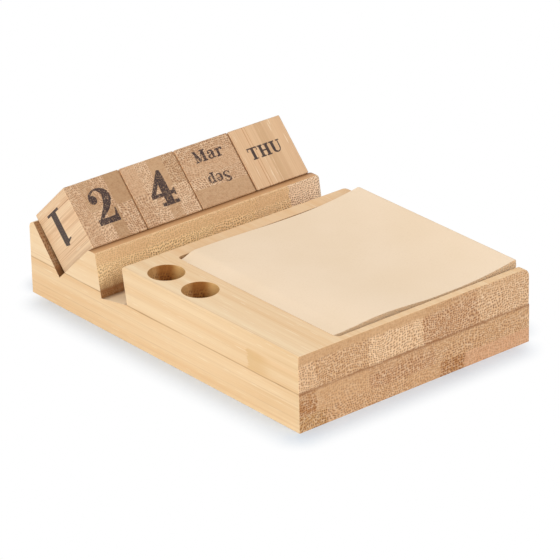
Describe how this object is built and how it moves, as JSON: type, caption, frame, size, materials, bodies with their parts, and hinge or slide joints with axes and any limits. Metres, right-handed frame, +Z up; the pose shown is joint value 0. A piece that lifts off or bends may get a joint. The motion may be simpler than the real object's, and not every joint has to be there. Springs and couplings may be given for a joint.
{
  "type": "desk calendar with note tray",
  "caption": "Wooden desk stand with turnable calendar blocks in a V groove, a leaning phone slot, upright pen holes and a recess holding loose square note sheets.",
  "frame": {"origin": "on the surface that it stands on, under the middle of the board", "axes": "+X to the right along the front edge, +Y from the front to the calendar blocks at the back, +Z up"},
  "size_m": [0.12, 0.172, 0.0532],
  "materials": {
    "board_bamboo": "laminated bamboo, sanded, clear matt oil",
    "block_bamboo": "laminated bamboo, sanded, printed in dark ink",
    "note_paper": "uncoated pale kraft paper"
  },
  "bodies": {
    "stand": {"base_board": "board_bamboo", "note_tray": "board_bamboo", "middle_rail": "board_bamboo", "back_rail": "board_bamboo"},
    "tens": {"tens_block": "block_bamboo"},
    "units": {"units_block": "block_bamboo"},
    "month": {"month_block": "block_bamboo"},
    "weekday": {"weekday_block": "block_bamboo"},
    "notes": {"note_stack": "note_paper"},
    "loose_note": {"top_note": "note_paper"}
  },
  "joints": [
    {"name": "tens_lift", "type": "slide", "parent": "stand", "child": "tens", "axis": [0, 0, 1], "range_m": [0, 0.05]},
    {"name": "units_lift", "type": "slide", "parent": "stand", "child": "units", "axis": [0, 0, 1], "range_m": [0, 0.05]},
    {"name": "month_lift", "type": "slide", "parent": "stand", "child": "month", "axis": [0, 0, 1], "range_m": [0, 0.05]},
    {"name": "weekday_lift", "type": "slide", "parent": "stand", "child": "weekday", "axis": [0, 0, 1], "range_m": [0, 0.05]},
    {"name": "notes_lift", "type": "slide", "parent": "stand", "child": "notes", "axis": [0, 0, 1], "range_m": [0, 0.035]},
    {"name": "top_note_lift", "type": "slide", "parent": "notes", "child": "loose_note", "axis": [0, 0, 1], "range_m": [0, 0.03]}
  ]
}
